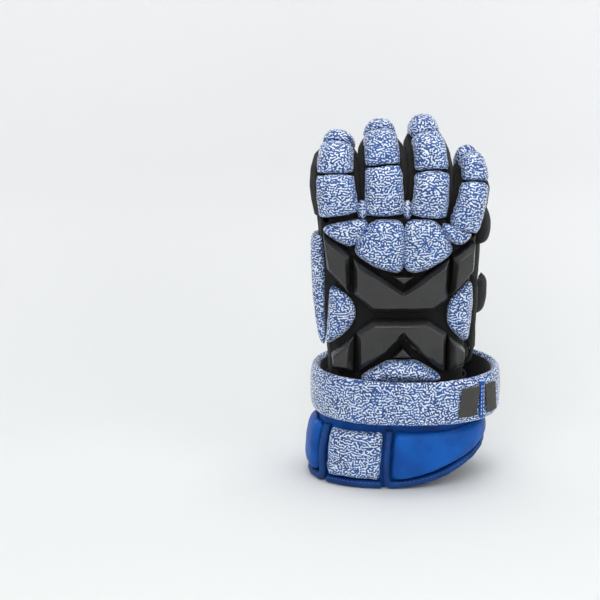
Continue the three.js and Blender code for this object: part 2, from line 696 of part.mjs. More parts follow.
const onHand = ({ x, y, up }) => new V3(x * PALM_WIDTH, y * PALM_DEPTH, SHELL_HEM + up * HAND_HEIGHT);
const thumb = {
  name: 'thumb',
  base: onHand(THUMB_BASE),
  along: direction(THUMB_LEAN, THUMB_TILT),
  back: new V3(0.93, -0.37, 0),
  width: THUMB_WIDTH,
  depth: THUMB_DEPTH,
  length: THUMB_LENGTH,
  bends: [THUMB_LENGTH * 0.3, THUMB_LENGTH * 0.62],
  curls: [0, 6],
  leans: [0, 0],
  square: 2.3,
  taper: 0.94,
  swell: 0,
};
// Below its base the thumb's line runs straight to its root in the shell, without turning.
const thumbRootLength = onHand(THUMB_ROOT).distanceTo(thumb.base);
const thumbLine = digitPath(thumb);
thumb.path = (s) => {
  const frame = thumbLine(s);
  if (s < 0) frame.p = thumb.base.clone().lerp(onHand(THUMB_ROOT), -s / thumbRootLength);
  return frame;
};

// The palm shell
const SHELL_STEPS = 28;
const SHELL_RINGS = 5;

function shellSkin(out, low, high) {
  const rings = times(SHELL_RINGS, (i) => {
    const z = mix(low, high, i / (SHELL_RINGS - 1));
    return times(SHELL_STEPS, (k) => onShell(-1 + (2 * k) / SHELL_STEPS, z, out));
  });
  return toSolid(cappedSkin(rings));
}

// A sleeve from the thumb's root inside the shell to just under its stall, or reaching past it.
function thumbSleeve(wall, ...past) {
  const wide = { ...thumb, width: THUMB_ROOT_WIDTH };
  const root = digitRing(wide, -thumbRootLength, wall, STALL_SIDES);
  const base = digitRing(thumb, 0, wall, STALL_SIDES);
  const moved = (reach) => base.map((p) => p.clone().addScaledVector(thumb.along, reach));
  return toSolid(cappedSkin([root, moved(-FACE_GAP), ...past.map(moved)]));
}

function boxSolid(low, high) {
  const size = new V3().subVectors(high, low);
  const box = new THREE.BoxGeometry(size.x, size.y, size.z);
  const middle = new V3().addVectors(low, high).divideScalar(2);
  box.translate(middle.x, middle.y, middle.z);
  return toSolid(box);
}

// What lies over the shell's top, whose height steps with the fingers' bases.
function aboveKnuckles(lower) {
  const far = PALM_WIDTH;
  const shared = FACE_GAP / 4; // neighbouring blocks run into each other by this much
  const edge = (k) => (fingers[k].base.x + fingers[k + 1].base.x) / 2;
  const pieces = fingers.map((finger, i) => {
    const low = i === 0 ? -far : edge(i - 1);
    const high = i === fingers.length - 1 ? far : edge(i);
    const z = finger.base.z - FACE_GAP - lower;
    return boxSolid(new V3(low - shared, -far, z), new V3(high + shared, far, KNUCKLE_HEIGHT + far));
  });
  return pieces.reduce((all, piece) => all.add(piece));
}

// The way from the palm into a finger's stall.
function fingerHole(finger) {
  const ring = digitRing(finger, 0, STALL_WALL, STALL_SIDES);
  const moved = (z) => ring.map((p) => new V3(p.x, p.y, finger.base.z + z));
  return toSolid(cappedSkin([moved(-SHELL_WALL * 2), moved(SHELL_WALL)]));
}

function palmShell() {
  const far = 1;
  let hollow = shellSkin(-SHELL_WALL, SHELL_HEM - far, KNUCKLE_HEIGHT + far);
  hollow = hollow.subtract(aboveKnuckles(SHELL_WALL)).add(thumbSleeve(SHELL_WALL, far));
  for (const finger of fingers) hollow = hollow.add(fingerHole(finger));
  const outer = shellSkin(0, SHELL_HEM, KNUCKLE_HEIGHT + far).subtract(aboveKnuckles(0));
  return fromSolid(outer.add(thumbSleeve(0)).subtract(hollow));
}

addMesh('palm_shell', palmShell(), blackSuede);
for (const digit of [...fingers, thumb]) addMesh(`${digit.name}_stall`, stall(digit), blackSuede);

// Pads on the backs of the fingers
for (const finger of fingers) {
  const ends = [PAD_SPACING, ...finger.bends, finger.length - 1];
  ['base', 'middle', 'tip'].forEach((piece, i) => {
    const from = ends[i] + PAD_SPACING / 2;
    const to = ends[i + 1] - PAD_SPACING / 2;
    const geometry = clearOf(block(finger, from, to, FINGER_PAD_THICKNESS), stallRoom(finger));
    addMesh(`${finger.name}_pad_${piece}`, geometry, printedLeather);
  });
}

// Pads and plates on the back of the hand. Their corners are told on their faces.
const FACE_SHARE = 0.7; // share of a pad's thickness at which its corners are told
const shellRoom = shellSkin(FACE_GAP, SHELL_HEM, KNUCKLE_HEIGHT);
const cornersOf = ({ x, up }) =>
  x.map((share, i) => [share * PALM_WIDTH, SHELL_HEM + up[i] * HAND_HEIGHT]);

function addBackPads(table, material, shape, apart = 0, rooms = []) {
  const place = overBack(shape.thickness * FACE_SHARE);
  for (const [name, outline] of Object.entries(table)) {
    const corners = insetCorners(cornersOf(outline), apart);
    addMesh(name, clearOf(pad(place, corners, shape), shellRoom, ...rooms), material);
  }
}

const knuckleShape = { thickness: KNUCKLE_THICKNESS, bevel: KNUCKLE_BEVEL };
const indexRoom = stallRoom(fingers.at(-1));
addBackPads(KNUCKLE_PADS, printedLeather, knuckleShape, PAD_SPACING / 2, [indexRoom]);
addBackPads(PLATES, blackLeather, { thickness: PLATE_THICKNESS, bevel: PLATE_BEVEL, profile: PLATE_PROFILE });
addBackPads(KEYSTONES, blackLeather, { thickness: PLATE_THICKNESS * 0.8, bevel: PLATE_BEVEL * 0.3 });
addBackPads(SIDE_PADS, printedLeather, { thickness: SIDE_PAD_THICKNESS });
addBackPads(WRIST_PADS, printedLeather, { thickness: WRIST_PAD_THICKNESS });

const sideCorners = ({ around, up }) =>
  around.map((share, i) => [share * shellRound, SHELL_HEM + up[i] * HAND_HEIGHT]);
const roll = pad(alongShell, sideCorners(SIDE_ROLL), { thickness: SIDE_ROLL_THICKNESS });
addMesh('side_roll', clearOf(roll, shellRoom), printedLeather);

// Guards on the thumb's back
const LOW_GUARD_TO = 0.34; // share of THUMB_LENGTH
const TIP_GUARD_FROM = 0.64;
const thumbRoom = stallRoom(thumb).add(thumbSleeve(-FACE_GAP, FACE_GAP));
const lowGuard = block(thumb, 1, LOW_GUARD_TO * THUMB_LENGTH, GUARD_THICKNESS, GUARD_GAP);
addMesh('thumb_guard_base', clearOf(lowGuard, shellRoom, thumbRoom), blackSuede);
const tipFrom = TIP_GUARD_FROM * THUMB_LENGTH;
const tipGuard = block(thumb, tipFrom, THUMB_LENGTH - 1, GUARD_THICKNESS, GUARD_GAP);
addMesh('thumb_guard_tip', clearOf(tipGuard, thumbRoom), blackSuede);
const sideStrip = pad(alongShell, sideCorners(SIDE_STRIP), { thickness: SIDE_STRIP_THICKNESS });
addMesh('side_strip', clearOf(sideStrip, shellRoom, thumbRoom), blackSuede);

// The cuff's tube
const TUBE_LEVELS = [0, 0.35, 0.68, 0.76, 0.84, 1];
const tubeProfile = [
  ...TUBE_LEVELS.map((up) => ({ up, out: 0 })),
  ...TUBE_LEVELS.map((up) => ({ up, out: -CUFF_WALL })).reverse(),
];
const TUBE_STEPS = 36;
addMesh('cuff_tube', band(onCuff, rimAt, CUFF_HEIGHT, tubeProfile, TUBE_STEPS), blueLeather);

// Panels on the cuff, with a binding round their lower edges
const RIM_STEP = 0.06; // share of the way around between the points along a lower edge
const panelFoot = BINDING_LIFT + BINDING_WIDTH + PAD_SPACING / 2;
const bindingFoot = BINDING_LIFT + BINDING_WIDTH / 2;

// The rim's line from one place around to another, moved up square to itself.
function rimPath(from, to, over) {
  const steps = Math.max(2, Math.round((to - from) / RIM_STEP));
  const rimPoint = (around) => [around * cuffRound, rimAt(around)];
  return times(steps + 1, (i) => {
    const around = mix(from, to, i / steps);
    const [u, v] = rimPoint(around);
    const [ahead, behind] = [rimPoint(around + RIM_STEP / 2), rimPoint(around - RIM_STEP / 2)];
    const length = Math.hypot(ahead[0] - behind[0], ahead[1] - behind[1]);
    const [across, up] = [(behind[1] - ahead[1]) / length, (ahead[0] - behind[0]) / length];
    return [u + across * over, v + up * over];
  });
}

// A padded panel over a lower edge's path, thinner at its edges.
const PANEL_PROFILE = [
  { up: 0, rise: 0.4 },
  { up: 0.06, rise: 0.8 },
  { up: 0.2, rise: 1 },
  { up: 0.8, rise: 1 },
  { up: 0.94, rise: 0.8 },
  { up: 1, rise: 0.4 },
];
const PANEL_END_RISE = 0.45; // thickness at a panel's ends, as a share of its middle's

function panelSkin(foot, thickness) {
  // A point inwards from an end of the foot, where the panel has its full thickness.
  const inwards = ([u, v], [u2, v2]) => {
    const share = SOFT_BEVEL / 2 / Math.hypot(u2 - u, v2 - v);
    return [mix(u, u2, share), mix(v, v2, share)];
  };
  const path = [...foot];
  path.splice(1, 0, inwards(foot[0], foot[1]));
  path.splice(-1, 0, inwards(foot.at(-1), foot.at(-2)));
  const rings = path.map(([u, v], i) => {
    const swell = i === 0 || i === path.length - 1 ? PANEL_END_RISE : 1;
    const at = (up, rise) => alongCuff(u, mix(v, PANEL_HEIGHT, up), SEAM_GAP + rise * thickness);
    const face = PANEL_PROFILE.map(({ up, rise }) => at(up, rise * swell));
    return [...face, ...[1, 0.66, 0.33, 0].map((up) => at(up, 0))];
  });
  return cappedSkin(rings);
}

// A binding's line along the rim, which turns up a bound end with a round corner.
const CORNER_SHARE = 0.7; // the corner's radius, as a share of the binding's width

function bindingPath(from, to, bound) {
  if (bound === 'none') return rimPath(from, to, bindingFoot);
  const turn = BINDING_WIDTH * CORNER_SHARE;
  const side = bound === 'from' ? 1 : -1;
  const corner = side > 0 ? from : to;
  const inner = corner + (side * turn) / cuffRound;
  const rim = side > 0 ? rimPath(inner, to, bindingFoot) : rimPath(from, inner, bindingFoot);
  const foot = rimAt(corner) + bindingFoot + turn;
  const arc = times(4, (i) => {
    const angle = (i / 4) * (Math.PI / 2);
    return [corner * cuffRound + side * turn * (1 - Math.cos(angle)), foot - turn * Math.sin(angle)];
  });
  const up = times(4, (i) => [corner * cuffRound, mix(PANEL_HEIGHT, foot, i / 4)]);
  return side > 0 ? [...up, ...arc, ...rim] : [...rim, ...arc.reverse(), ...up.reverse()];
}

for (const { name, thickness, from, to, bound } of PANELS) {
  const material = name === 'front' ? printedLeather : blueLeather;
  const beside = (BINDING_WIDTH / 2 + PAD_SPACING / 2) / cuffRound;
  const start = from + (bound === 'from' ? beside : 0);
  const end = to - (bound === 'to' ? beside : 0);
  addMesh(`cuff_panel_${name}`, panelSkin(rimPath(start, end, panelFoot), thickness), material);
  const binding = strip(alongCuff, bindingPath(from, to, bound), BINDING_WIDTH, BINDING_THICKNESS);
  addMesh(`cuff_binding_${name}`, binding, bindingLeather);
}

// The strap: a padded band, its lining, and a seam between two inlays on its face
const STRAP_PROFILE = [
  { up: 0, out: 0.3 },
  { up: 0.05, out: 0.75 },
  { up: 0.18, out: 1 },
  { up: 0.82, out: 1 },
  { up: 0.95, out: 0.75 },
  { up: 1, out: 0.3 },
  { up: 0.95, out: 0 },
  { up: 0.05, out: 0 },
];
const STRAP_STEPS = 36;
const strapTop = STRAP_BOTTOM + STRAP_WIDTH;
const strapBottom = () => STRAP_BOTTOM;
const strapProfile = STRAP_PROFILE.map(({ up, out }) => ({ up, out: out * STRAP_THICKNESS }));
addMesh('strap', band(onStrap, strapBottom, strapTop, strapProfile, STRAP_STEPS), printedLeather);

const flatProfile = (low, high, inside, outside) => [
  { up: low, out: inside },
  { up: low, out: outside },
  { up: high, out: outside },
  { up: high, out: inside },
];
const liningProfile = flatProfile(0.06, 0.94, -FACE_GAP - STRAP_LINING, -FACE_GAP);
addMesh('strap_lining', band(onStrap, strapBottom, strapTop, liningProfile, STRAP_STEPS), blackSuede);

// A flat patch on the strap's face, whose ends lean by a share of the way around.
function strapPatch({ from, to, lean = 0 }, low, high, thickness) {
  const inside = STRAP_THICKNESS + FACE_GAP;
  const rings = times(4, (i) =>
    flatProfile(low, high, inside, inside + thickness).map(({ up, out }) => {
      const around = mix(from, to, i / 3) + lean * (up - 0.5);
      return onStrap(around, mix(STRAP_BOTTOM, strapTop, up), out);
    }),
  );
  return cappedSkin(rings);
}

addMesh('strap_seam', strapPatch(STRAP_SEAM, 0.12, 0.88, INLAY_THICKNESS), blueLeather);
for (const inlay of STRAP_INLAYS) {
  addMesh(`strap_inlay_${inlay.name}`, strapPatch(inlay, 0.2, 0.8, INLAY_THICKNESS), greyInlay);
}

// The origin is on the floor, under the middle of the whole glove.
const box = new THREE.Box3().setFromObject(group);
group.position.set(-(box.min.x + box.max.x) / 2, -(box.min.y + box.max.y) / 2, -box.min.z);

export default group;
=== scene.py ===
import math

import bmesh
import bpy
import numpy as np
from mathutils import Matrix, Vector, noise
from mathutils.bvhtree import BVHTree


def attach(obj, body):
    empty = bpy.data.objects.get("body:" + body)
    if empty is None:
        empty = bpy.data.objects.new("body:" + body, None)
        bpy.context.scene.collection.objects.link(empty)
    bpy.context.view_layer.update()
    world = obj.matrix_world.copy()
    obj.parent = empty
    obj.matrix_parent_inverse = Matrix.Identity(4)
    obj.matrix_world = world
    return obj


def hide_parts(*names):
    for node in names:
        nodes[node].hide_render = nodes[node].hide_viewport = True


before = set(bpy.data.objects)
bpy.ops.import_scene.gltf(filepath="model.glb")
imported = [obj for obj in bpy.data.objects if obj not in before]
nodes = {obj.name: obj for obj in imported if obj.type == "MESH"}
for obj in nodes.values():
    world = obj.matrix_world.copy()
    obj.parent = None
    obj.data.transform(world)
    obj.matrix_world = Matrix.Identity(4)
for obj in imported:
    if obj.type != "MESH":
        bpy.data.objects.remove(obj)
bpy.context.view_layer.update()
scene = bpy.context.scene
MM = 0.001
FINGERS = ["little", "ring", "middle", "index"]

# Sizes, in millimetres
PRINT_PERIOD = 2.15  # from one silver line of the print to the next
PRINT_PUSH = 2.0  # how far the print's lines wander
APART = 900.0  # how far a pattern may move from piece to piece
SIM_VOXEL = 2.1  # the grid of the covers that the simulation swells
KNUCKLE_VOXEL = 1.4
WALL_VOXEL = 1.25
PLATE_VOXEL = 0.9
PATCH_VOXEL = 0.4
SEAM_FILL = 0.4  # pads meet across the gaps that the solids keep
KNUCKLE_FILL = 0.8
ROUND_FILL = 0.5  # given back to the pads that are rounded off
SWELL_CAP = 1.5  # the most that the simulation moves a cover
INDEX_ASIDE = -1.6  # how far the first finger's pads move sideways
COLLAR_FROM = 54.0  # the height from which the cuff is black
SLICE = 4.0  # the height of the slices that widened measures

# The simulation
SWELL_PRESSURE = 6.0
SWELL_FRAMES = 20


def srgb(*rgb):
    """A linear colour from 0 to 255 display values."""
    return tuple(
        c / 12.92 if c <= 0.04045 else ((c + 0.055) / 1.055) ** 2.4
        for c in (v / 255 for v in rgb)
    ) + (1.0,)


# Mesh tools
def link(obj):
    scene.collection.objects.link(obj)
    return obj


def welded(node, name):
    """A new object with the CAD node's shape, its vertices joined."""
    bm = bmesh.new()
    bm.from_mesh(nodes[node].data)
    bmesh.ops.remove_doubles(bm, verts=bm.verts, dist=2e-6)
    bmesh.ops.recalc_face_normals(bm, faces=bm.faces)
    mesh = bpy.data.meshes.new(name)
    bm.to_mesh(mesh)
    bm.free()
    return link(bpy.data.objects.new(name, mesh))


def with_modifiers(obj, *modifiers):
    """Applies the modifiers, each a type and its settings, to the object's mesh."""
    for kind, settings in modifiers:
        modifier = obj.modifiers.new(kind.lower(), kind)
        for key, value in settings.items():
            setattr(modifier, key, value)
    bpy.context.view_layer.update()
    made = bpy.data.meshes.new_from_object(
        obj.evaluated_get(bpy.context.evaluated_depsgraph_get())
    )
    obj.modifiers.clear()
    old = obj.data
    obj.data = made
    bpy.data.meshes.remove(old)
    return obj


def rounded(obj, levels):
    """Triangles paired into quads and subdivided, which rounds the facets."""
    bm = bmesh.new()
    bm.from_mesh(obj.data)
    bmesh.ops.join_triangles(
        bm,
        faces=bm.faces,
        angle_face_threshold=math.radians(35),
        angle_shape_threshold=math.radians(50),
    )
    bm.to_mesh(obj.data)
    bm.free()
    return with_modifiers(obj, ("SUBSURF", {"levels": levels, "render_levels": levels}))


def voxels(obj, size):
    return with_modifiers(obj, ("REMESH", {"mode": "VOXEL", "voxel_size": size * MM}))


def read_points(mesh):
    co = np.empty(len(mesh.vertices) * 3, np.float32)
    mesh.vertices.foreach_get("co", co)
    return co.reshape(-1, 3).astype(float)


def write_points(mesh, co):
    mesh.vertices.foreach_set("co", co.astype(np.float32).ravel())
    mesh.update()


def normals_of(mesh):
    out = np.empty(len(mesh.vertices) * 3, np.float32)
    mesh.vertices.foreach_get("normal", out)
    return out.reshape(-1, 3).astype(float)


def relaxed(obj, times, keep_size=True):
    """Evens out the surface. With keep_size each step in is followed by one out."""
    mesh = obj.data
    edges = np.empty(len(mesh.edges) * 2, np.int32)
    mesh.edges.foreach_get("vertices", edges)
    a, b = edges.reshape(-1, 2).T
    co = read_points(mesh)
    degree = np.bincount(np.r_[a, b], minlength=len(co))[:, None].clip(1)
    for _ in range(times):
        for share in (0.5, -0.52) if keep_size else (0.5,):
            total = np.zeros_like(co)
            for k in range(3):
                total[:, k] = np.bincount(a, co[b, k], len(co)) + np.bincount(b, co[a, k], len(co))
            co += share * (total / degree - co)
    write_points(mesh, co)
    return obj


def grown(obj, amount):
    co = read_points(obj.data)
    write_points(obj.data, co + normals_of(obj.data) * amount * MM)
    return obj


def widened(obj, share, aside=0.0):
    """Makes a piece wider across about its middle line, which may lean, and moves it aside."""
    co = read_points(obj.data)
    height = (co[:, 2] - co[:, 2].min()) / (SLICE * MM)
    level = height.astype(int)
    count = level.max() + 1
    low, high = np.full(count, 1e9), np.full(count, -1e9)
    np.minimum.at(low, level, co[:, 0])
    np.maximum.at(high, level, co[:, 0])
    levels = np.unique(level)
    line = np.polyfit(levels, ((low + high) / 2)[levels], 3 if len(levels) > 6 else 1)
    middle = np.polyval(line, height - 0.5)
    co[:, 0] = middle + (co[:, 0] - middle) * share + aside * MM
    write_points(obj.data, co)
    return obj


def stretched(obj, share):
    """Makes a piece taller about its middle."""
    co = read_points(obj.data)
    middle = (co[:, 2].min() + co[:, 2].max()) / 2
    co[:, 2] = middle + (co[:, 2] - middle) * share
    write_points(obj.data, co)
    return obj


def uneven(obj, amount, size, seed=0.0):
    """Moves the surface in and out by a smooth noise of that size."""
    co = read_points(obj.data)
    normal = normals_of(obj.data)
    shift = Vector((seed, seed * 0.7, -seed))
    value = np.array([noise.noise(Vector(p) / (size * MM) + shift) for p in co])
    write_points(obj.data, co + normal * (value * amount * MM)[:, None])
    return obj


def swollen(objects):
    """Cloth with pressure inside, run once for all the objects, and held within the cap."""
    starts, points, faces = [], [], []
    for obj in objects:
        starts.append(len(points))
        points.extend(v.co.copy() for v in obj.data.vertices)
        faces.extend([i + starts[-1] for i in p.vertices] for p in obj.data.polygons)
    mesh = bpy.data.meshes.new("swelling")
    mesh.from_pydata(points, [], faces)
    rest = read_points(mesh)
    bag = link(bpy.data.objects.new("swelling", mesh))
    cloth = bag.modifiers.new("cloth", "CLOTH")
    cloth.settings.use_pressure = True
    cloth.settings.uniform_pressure_force = SWELL_PRESSURE
    cloth.settings.effector_weights.gravity = 0
    cloth.settings.quality = 5
    cloth.collision_settings.use_collision = False
    cloth.point_cache.frame_start = 1
    cloth.point_cache.frame_end = SWELL_FRAMES
    for i in range(SWELL_FRAMES):
        scene.frame_set(i + 1)
    made = bag.evaluated_get(bpy.context.evaluated_depsgraph_get()).to_mesh()
    move = read_points(made) - rest
    length = np.linalg.norm(move, axis=1, keepdims=True).clip(1e-9)
    move *= np.minimum(1, SWELL_CAP * MM / length)
    bpy.data.objects.remove(bag)
    scene.frame_set(1)
    for obj, start in zip(objects, starts):
        count = len(obj.data.vertices)
        write_points(obj.data, rest[start : start + count] + move[start : start + count])


def piece(obj, cad, mat, slot, fill=None):
    """Finishes a piece, with the CAD nodes that it stands for, if any."""
    obj.data.materials.clear()
    obj.data.materials.append(mat)
    obj.data.polygons.foreach_set("use_smooth", [True] * len(obj.data.polygons))
    obj.data.polygons.foreach_set("material_index", [0] * len(obj.data.polygons))
    obj.data.update()
    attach(obj, "root")
    if cad:
        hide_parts(*cad)
    return obj


# Materials
class Nodes:
    """Short calls for building a material's nodes."""

    MIX_SOCKETS = (6, 7)  # where the mix node takes its two colours

    def __init__(self, name):
        self.mat = bpy.data.materials.new(name)
        self.mat.use_nodes = True
        self.tree = self.mat.node_tree
        self.shader = self.tree.nodes["Principled BSDF"]

    def add(self, kind, inputs=None, **settings):
        made = self.tree.nodes.new(kind)
        for key, value in settings.items():
            setattr(made, key, value)
        for key, value in (inputs or {}).items():
            self.put(made.inputs[key], value)
        return made

    def put(self, socket, value):
        if isinstance(value, bpy.types.NodeSocket):
            self.tree.links.new(value, socket)
        else:
            socket.default_value = value

    def coords(self, apart=True):
        """Position in millimetres, moved apart for each piece."""
        where = self.add("ShaderNodeTexCoord").outputs["Object"]
        scaled = self.add("ShaderNodeVectorMath", {0: where, "Scale": 1000.0}, operation="SCALE")
        if not apart:
            return scaled.outputs[0]
        random = self.add("ShaderNodeObjectInfo").outputs["Random"]
        moved = self.add("ShaderNodeVectorMath", {0: random, "Scale": APART}, operation="SCALE")
        both = {0: scaled.outputs[0], 1: moved.outputs[0]}
        return self.add("ShaderNodeVectorMath", both, operation="ADD").outputs[0]

    def noise(self, vector, scale, detail=2.0, roughness=0.5):
        inputs = {"Vector": vector, "Scale": scale, "Detail": detail, "Roughness": roughness}
        return self.add("ShaderNodeTexNoise", inputs).outputs["Fac"]

    def cells(self, vector, scale):
        made = self.add("ShaderNodeTexVoronoi", {"Vector": vector, "Scale": scale}, feature="F1")
        return made.outputs["Distance"]

    def waves(self, vector, scale, direction, **inputs):
        inputs = {"Vector": vector, "Scale": scale, **inputs}
        return self.add("ShaderNodeTexWave", inputs, bands_direction=direction).outputs["Fac"]

    def ramp(self, value, low, high, to_low=0.0, to_high=1.0):
        """A smooth step between two values."""
        inputs = {"Value": value, "From Min": low, "From Max": high, "To Min": to_low, "To Max": to_high}
        made = self.add("ShaderNodeMapRange", inputs, interpolation_type="SMOOTHSTEP")
        return made.outputs["Result"]

    def mix(self, share, a, b):
        made = self.add("ShaderNodeMix", data_type="RGBA")
        self.put(made.inputs["Factor"], share)
        for socket, color in zip(self.MIX_SOCKETS, (a, b)):
            self.put(made.inputs[socket], color)
        return made.outputs[2]

    def math(self, operation, a, b):
        return self.add("ShaderNodeMath", {0: a, 1: b}, operation=operation).outputs[0]

    def bump(self, height, distance, before=None):
        made = self.add("ShaderNodeBump", {"Height": height, "Distance": distance * MM, "Strength": 1.0})
        if before is not None:
            self.put(made.inputs["Normal"], before)
        return made.outputs["Normal"]

    def edge(self):
        """How sharply the surface turns out, which the painted edge highlight follows."""
        return self.add("ShaderNodeNewGeometry").outputs["Pointiness"]

    def done(self, **sockets):
        for key, value in sockets.items():
            self.put(self.shader.inputs[key.replace("_", " ")], value)
        return self.mat


def leather(name, dark, light, roughness, grain, coat=0.0, specular=0.5, black_over=None):
    """Grained leather, painted lighter at its edges as a painted highlight, black over a height if one is
    given.
    """
    n = Nodes(name)
    at = n.coords()
    tone = n.mix(n.ramp(n.noise(at, 0.05, 3.0), 0.3, 0.7), dark, light)
    if black_over is not None:
        height = n.add("ShaderNodeSeparateXYZ", {0: n.coords(apart=False)}).outputs["Z"]
        tone = n.mix(n.ramp(height, black_over, black_over + 2.0), tone, srgb(12, 12, 13))
    # Painted highlight: the edges are painted lighter, towards the light tone, where the bevels catch the
    # light
    edge_highlight = n.mix(n.ramp(n.edge(), 0.53, 0.62, 0.0, 0.35), tone, light)
    pores = n.cells(at, 1.25)
    creases = n.noise(at, 0.35, 4.0, 0.6)
    normal = n.bump(pores, grain, n.bump(creases, grain * 2.5))
    rough = n.ramp(n.noise(at, 0.4, 3.0), 0.3, 0.7, roughness - 0.06, roughness + 0.08)
    return n.done(
        Base_Color=edge_highlight, Roughness=rough, Normal=normal, Specular_IOR_Level=specular,
        Coat_Weight=coat, Coat_Roughness=0.28,
    )


def printed(name):
    """Blue leather with a generic silver labyrinth printed on it."""
    n = Nodes(name)
    at = n.coords()
    wander = n.add("ShaderNodeTexNoise", {"Vector": at, "Scale": 0.16, "Detail": 1.0}).outputs["Color"]
    pushed = n.add("ShaderNodeVectorMath", {0: wander, "Scale": PRINT_PUSH}, operation="SCALE").outputs[0]
    moved = n.add("ShaderNodeVectorMath", {0: at, 1: pushed}, operation="ADD").outputs[0]
    gabor = n.add(
        "ShaderNodeTexGabor",
        {"Vector": moved, "Scale": 1 / (2.0 * PRINT_PERIOD), "Frequency": 2.0, "Anisotropy": 0.0},
        gabor_type="3D",
    ).outputs["Value"]
    mask = n.ramp(gabor, 0.505, 0.555)
    blue = n.mix(n.ramp(n.noise(at, 0.06, 3.0), 0.3, 0.7), srgb(0, 62, 130), srgb(6, 82, 158))
    silver = n.mix(n.ramp(n.noise(at, 0.5, 2.0), 0.35, 0.65), srgb(208, 223, 242), srgb(234, 242, 252))
    color = n.mix(mask, blue, silver)
    pores = n.cells(at, 1.3)
    creases = n.noise(at, 0.3, 4.0, 0.6)
    normal = n.bump(mask, 0.06, n.bump(pores, 0.1, n.bump(creases, 0.35)))
    metal = n.ramp(mask, 0.0, 1.0, 0.0, 0.2)
    rough = n.ramp(n.noise(at, 0.4, 3.0), 0.3, 0.7, 0.33, 0.46)
    return n.done(
        Base_Color=color, Roughness=rough, Normal=normal, Metallic=metal,
        Sheen_Weight=0.35, Sheen_Roughness=0.4, Coat_Weight=0.2, Coat_Roughness=0.3,
    )


WAVE_PERIOD = 0.314  # of the wave texture at a scale of 1


def fabric(name, dark, light, roughness=0.9, thread=0.9):
    """A weave of two crossing waves, one thread wide each."""
    n = Nodes(name)
    at = n.coords(apart=False)
    bands = [
        n.waves(at, WAVE_PERIOD / thread, direction, Distortion=0.6, Detail=1.0)
        for direction in ("DIAGONAL", "Z")
    ]
    weave = n.math("MULTIPLY", *bands)
    tone = n.mix(n.ramp(n.noise(at, 0.12, 3.0), 0.3, 0.7), dark, light)
    color = n.mix(n.ramp(weave, 0.1, 0.7, 0.0, 0.6), dark, tone)
    normal = n.bump(weave, 0.25, n.bump(n.noise(at, 0.2, 3.0), 0.5))
    return n.done(
        Base_Color=color, Roughness=roughness, Normal=normal, Sheen_Weight=0.1, Sheen_Roughness=0.5
    )


def thread(name, color):
    """Twisted thread, with half the colour's light in its grooves."""
    n = Nodes(name)
    twist = n.waves(n.coords(), 1.2, "DIAGONAL", Distortion=0.5)
    groove = tuple(c * 0.5 for c in color[:3]) + (1.0,)
    shade = n.mix(n.ramp(twist, 0.0, 1.0, 0.0, 0.35), color, groove)
    return n.done(Base_Color=shade, Roughness=0.7, Normal=n.bump(twist, 0.05))


PRINTED = printed("printed_leather")
PLATE = leather("black_leather", srgb(12, 12, 12), srgb(30, 29, 28), 0.34, grain=0.14, coat=0.55)
BLUES = (srgb(0, 74, 158), srgb(0, 92, 184))
BLUE = leather("blue_leather", *BLUES, 0.42, grain=0.07, specular=0.22)
CUFF = leather("cuff_leather", *BLUES, 0.5, grain=0.07, specular=0.22, black_over=COLLAR_FROM)
BINDING = leather("blue_binding", srgb(0, 50, 112), srgb(10, 66, 134), 0.55, grain=0.12, specular=0.3)
BLACK = fabric("black_mesh_fabric", srgb(7, 7, 8), srgb(19, 19, 21))
GREY = fabric("grey_fabric", srgb(58, 57, 54), srgb(92, 90, 84), 0.75, thread=1.2)
WHITE_THREAD = thread("white_thread", srgb(232, 232, 236))
BLUE_THREAD = thread("blue_thread", srgb(60, 110, 185))
BLACK_THREAD = thread("black_thread", srgb(20, 20, 22))

# Padded pieces, swollen like stuffed covers
PAD_WIDTHS = {"base": 1.0, "middle": 0.97, "tip": 0.92}  # each pad's width against its solid's
INDEX_WIDTH = 1.08
PAD_STRETCH = 1.05
# Each knuckle pad's width against its solid's, and how far it moves sideways
KNUCKLES = {"little": (1.2, -1.2), "ring": (1.05, -0.6), "middle": (1.04, 0.5), "index": (1.14, 1.0)}
FINGER_PADS = [f"{finger}_pad_{place}" for finger in FINGERS for place in PAD_WIDTHS]
KNUCKLE_PADS = [f"knuckle_pad_{finger}" for finger in FINGERS]
LOW_PADS = ["side_pad_inner", "side_pad_outer", "side_roll", "wrist_pad", "cuff_panel_front", "strap"]
BLUE_PANELS = ["cuff_panel_inner", "cuff_panel_outer", "cuff_panel_palm"]
BLACK_PADS = ["thumb_guard_base", "thumb_guard_tip", "side_strip"]

# Which pieces, their material, its slot and how full they are
SOFT_GROUPS = [
    (FINGER_PADS + KNUCKLE_PADS, PRINTED, "printed_leather", 0.8),
    (LOW_PADS, PRINTED, "printed_leather", 0.7),
    (BLUE_PANELS, BLUE, "blue_leather", 0.7),
    (BLACK_PADS, BLACK, "black_mesh_fabric", 0.6),
]
SOFT = {name: finish for names, *finish in SOFT_GROUPS for name in names}

pads = {}
for name in SOFT:
    voxel = KNUCKLE_VOXEL if name in KNUCKLE_PADS else SIM_VOXEL
    pads[name] = relaxed(voxels(rounded(welded(name, f"{name}_cover"), 2), voxel), 2)
    if name in FINGER_PADS + KNUCKLE_PADS:
        grown(relaxed(pads[name], 5, keep_size=False), ROUND_FILL)
for finger in FINGERS:
    wide, aside = (INDEX_WIDTH, INDEX_ASIDE) if finger == "index" else (1.0, 0.0)
    for place, share in PAD_WIDTHS.items():
        pad = widened(pads[f"{finger}_pad_{place}"], wide * share, aside)
        grown(stretched(pad, PAD_STRETCH), SEAM_FILL)
for finger, (share, aside) in KNUCKLES.items():
    grown(widened(pads[f"knuckle_pad_{finger}"], share, aside), KNUCKLE_FILL)
swollen(list(pads.values()))
for i, (name, obj) in enumerate(pads.items()):
    with_modifiers(obj, ("SUBSURF", {"levels": 1, "render_levels": 1}))
    relaxed(obj, 2)
    uneven(obj, 0.35, 9.0, seed=i * 3.1)
    piece(obj, [name], *SOFT[name])

